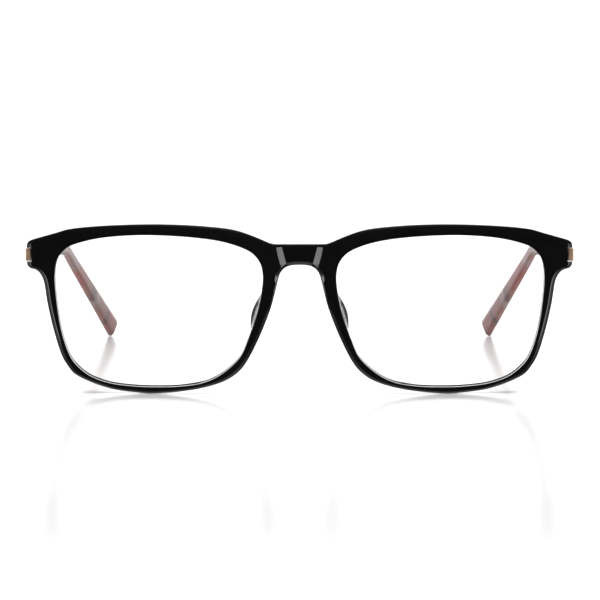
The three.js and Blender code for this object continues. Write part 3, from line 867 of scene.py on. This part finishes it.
def marbled_acetate():
    """Translucent acetate: long patches of rose, brown and clear grey, with wisps of smoke."""
    material, nodes, links, shader = new_material("marbled_acetate")
    where = object_space(nodes, links)
    drift = noise(nodes, links, where, 90, 3, 0.5, 0.5)
    split = nodes.new("ShaderNodeSeparateXYZ")
    links.new(where.outputs["Vector"], split.inputs[0])
    wander = nodes.new("ShaderNodeMath")
    wander.operation = "MULTIPLY_ADD"
    links.new(drift.outputs["Fac"], wander.inputs[0])
    wander.inputs[1].default_value = PATCHES_DRIFT
    links.new(split.outputs["Y"], wander.inputs[2])
    along = nodes.new("ShaderNodeMapRange")
    along.inputs["From Min"].default_value = PATCHES_START
    along.inputs["From Max"].default_value = PATCHES_END
    links.new(wander.outputs[0], along.inputs["Value"])
    patches = ramp(nodes, links, along.outputs["Result"], [
        (0.0, ROSE_BROWN), (0.1, ROSE_GREY), (0.18, SMOKE), (0.25, ROSE_GREY), (0.34, CLEAR_GREY),
        (0.4, DEEP_ROSE), (0.5, DEEP_ROSE), (0.56, ROSE_BROWN), (0.62, SMOKE), (0.66, CLEAR_GREY),
        (0.7, ROSE_BROWN), (0.77, ROSE_GREY), (0.82, SMOKE), (0.86, DEEP_ROSE), (0.95, ROSE_GREY),
    ])
    cloud = noise(nodes, links, where, 260, 4, 0.6, 1.2)
    wisps = ramp(nodes, links, cloud.outputs["Fac"], [
        (0.34, SMOKE), (0.42, ROSE_BROWN), (0.5, DEEP_ROSE), (0.58, ROSE_GREY), (0.68, CLEAR_GREY),
    ])
    blend = nodes.new("ShaderNodeMix")
    blend.data_type = "RGBA"
    blend.inputs["Factor"].default_value = WISPS_SHARE
    links.new(patches.outputs["Color"], blend.inputs[6])
    links.new(wisps.outputs["Color"], blend.inputs[7])
    links.new(blend.outputs[2], shader.inputs["Base Color"])
    shader.inputs["Roughness"].default_value = 0.28
    shader.inputs["Specular IOR Level"].default_value = 0.15
    shader.inputs["Transmission Weight"].default_value = 0.04
    return material


# ---- Stage, light and camera ----


def add_area(name, place, target, size, power):
    """A rectangular light that the camera doesn't see."""
    data = bpy.data.lights.new(name, "AREA")
    data.shape = "RECTANGLE"
    data.size, data.size_y = size
    data.energy = power
    lamp = bpy.data.objects.new(name, data)
    bpy.context.scene.collection.objects.link(lamp)
    lamp.location = place
    aim(lamp, target)
    lamp.visible_camera = False
    return lamp


def aim(thing, target):
    """Turns a light or the camera to look at a point."""
    direction = np.array(target, float) - np.array(thing.location, float)
    thing.rotation_euler = Vector(direction).to_track_quat("-Z", "Y").to_euler()


# How light the studio is by the height of a direction, from -1 straight down to 1 straight up.
BEHIND = [
    (-1, 0.5), (-0.2, 0.5), (-0.1, 1.0), (0.2, 1.0), (0.23, 0.025), (0.8, 0.025), (0.93, 0.4),
    (1, 0.5),
]
AHEAD = [(-1, 0.5), (-0.85, 0.45), (-0.55, 0.03), (0.93, 0.03), (0.99, 0.4), (1, 0.5)]
BESIDE = [(-1, 0.45), (0.2, 0.4), (0.3, 0.03), (0.93, 0.03), (0.99, 0.4), (1, 0.5)]
# Where each zone takes over, as the direction turns along X or Y.
SIDE_START = (0.72, 0.85)
FRONT_START = (0.15, 0.0)
BEHIND_START = (0.62, 0.74)
WORLD_STRENGTH = 2.2


def add_world():
    """White behind the glasses up to a low horizon, grey beside them, dark elsewhere."""
    world = bpy.data.worlds.new("studio")
    bpy.context.scene.world = world
    world.use_nodes = True
    nodes, links = world.node_tree.nodes, world.node_tree.links
    nodes.clear()
    coordinates = nodes.new("ShaderNodeTexCoord")
    split = nodes.new("ShaderNodeSeparateXYZ")
    links.new(coordinates.outputs["Generated"], split.inputs[0])

    def remap(source, low, high):
        node = nodes.new("ShaderNodeMapRange")
        node.inputs["From Min"].default_value = low
        node.inputs["From Max"].default_value = high
        links.new(source, node.inputs["Value"])
        return node.outputs["Result"]

    def maths(operation, *sources):
        node = nodes.new("ShaderNodeMath")
        node.operation = operation
        for socket, source in zip(node.inputs, sources):
            links.new(source, socket)
        return node.outputs[0]

    height = remap(split.outputs["Z"], -1, 1)
    zones = []
    for stops in (BEHIND, AHEAD, BESIDE):
        greys = [((z + 1) / 2, grey(level)) for z, level in stops]
        zones.append(ramp(nodes, links, height, greys).outputs["Color"])
    behind, ahead, beside = zones
    to_side = remap(maths("ABSOLUTE", split.outputs["X"]), *SIDE_START)
    in_front = remap(split.outputs["Y"], *FRONT_START)
    around = mix(nodes, links, maths("MULTIPLY", to_side, in_front), ahead, beside)
    around = mix(nodes, links, remap(split.outputs["Y"], *BEHIND_START), around, behind)
    seen = nodes.new("ShaderNodeLightPath")
    plain = nodes.new("ShaderNodeMix")
    plain.data_type = "RGBA"
    links.new(seen.outputs["Is Camera Ray"], plain.inputs["Factor"])
    links.new(around, plain.inputs[6])
    plain.inputs[7].default_value = (1, 1, 1, 1)
    background = nodes.new("ShaderNodeBackground")
    links.new(plain.outputs[2], background.inputs["Color"])
    background.inputs["Strength"].default_value = WORLD_STRENGTH
    output = nodes.new("ShaderNodeOutputWorld")
    links.new(background.outputs[0], output.inputs["Surface"])


FLOOR_REACH = 12


def add_floor():
    """A plain white polished floor."""
    work = bmesh.new()
    for x, y in ((-1, -1), (1, -1), (1, 1), (-1, 1)):
        work.verts.new((x * FLOOR_REACH, y * FLOOR_REACH, 0))
    work.faces.new(work.verts)
    floor = finish_mesh("floor", work)
    material, _, _, shader = new_material("floor_white")
    shader.inputs["Base Color"].default_value = (0.9, 0.9, 0.9, 1)
    shader.inputs["Roughness"].default_value = 0.2
    floor.data.materials.append(material)
    floor.visible_glossy = False


CAMERA_PLACE = (0.00011, -0.82058, 0.09408)
CAMERA_TARGET = (0.00011, -0.07058, 0.02455)
CAMERA_LENS = 173.8


def add_camera():
    """The camera, straight in front and a little above."""
    data = bpy.data.cameras.new("camera")
    data.sensor_width = 36
    data.lens = CAMERA_LENS
    data.clip_start = 0.01
    data.clip_end = 100
    camera = bpy.data.objects.new("camera", data)
    bpy.context.scene.collection.objects.link(camera)
    camera.location = CAMERA_PLACE
    aim(camera, CAMERA_TARGET)
    bpy.context.scene.camera = camera


# ---- Making everything ----

bpy.context.scene.view_settings.view_transform = "Standard"
add_camera()
add_world()
add_floor()
overhead = add_area("overhead", (0, 0, 3.0), (0, 0, 0), (4, 4), 150)
overhead.visible_glossy = False
for side in (1, -1):
    panel = add_area("side_panel", (side * 0.78, -0.52, -0.04), (0, -0.07, 0.03), (0.5, 0.6), 4.2)
    panel.visible_diffuse = False

black = black_acetate()
gold = rose_gold()
steel = screw_steel()
nylon = washer_nylon()
marbled = marbled_acetate()
glass = clear_lens()

# Each temple has room round its hinge, a notch for its bar and a pocket for the front leaf.
HINGE_ROOM = ((-12, -2.2, -9), (9, 9, 9))
BAR_NOTCH = ((1.4, -12, -1.76), (6, 0, 1.76))
LEAF_POCKET = ((-4.55, -2.85, -2.45), (0.65, 0, 2.45))

front = front_frame()
for side in (1, -1):
    cut_away(front, [hinge_block(*c, side) for c in (HINGE_ROOM, BAR_NOTCH, LEAF_POCKET)])
add_piece(front, "front", black, "front_frame")

for side, name in ((1, "left"), (-1, "right")):
    temple = f"{name}_temple"
    bar = bar_mesh(f"{name}_bar", side)
    add_piece(bar, temple, gold, f"{temple}_bar")
    tip = tip_mesh(f"{name}_tip", side)
    add_piece(tip, temple, marbled, f"{temple}_tip", 50)
    pad = pad_mesh(f"{name}_pad", side)
    add_piece(pad, "front", black, f"{name}_nose_pad", 60)
    lens = lens_mesh(f"{name}_glass", side)
    add_piece(lens, "front", glass, f"{name}_lens")
    screw = screw_mesh(f"{name}_screw", side)
    add_piece(screw, "front", steel, f"{name}_hinge_screw")
    for place, end in (("upper", 1), ("lower", -1)):
        small_screw = small_screw_mesh(f"{name}_{place}_small_screw", side, end)
        add_piece(small_screw, "front", steel, f"{name}_{place}_leaf_screw")
        washer = washer_mesh(f"{name}_{place}_washer", side, end)
        add_piece(washer, "front", nylon, f"{name}_{place}_hinge_washer")
    for leaf in (f"{name}_front_hinge_leaf", f"{temple}_hinge_leaf"):
        node = frame["nodes"][leaf]
        softened_edge = node.modifiers.new("softened", "BEVEL")
        softened_edge.width = 0.07 * MM
        softened_edge.segments = 2
        softened_edge.angle_limit = math.radians(35)
        node.data.materials.clear()
        node.data.materials.append(gold)
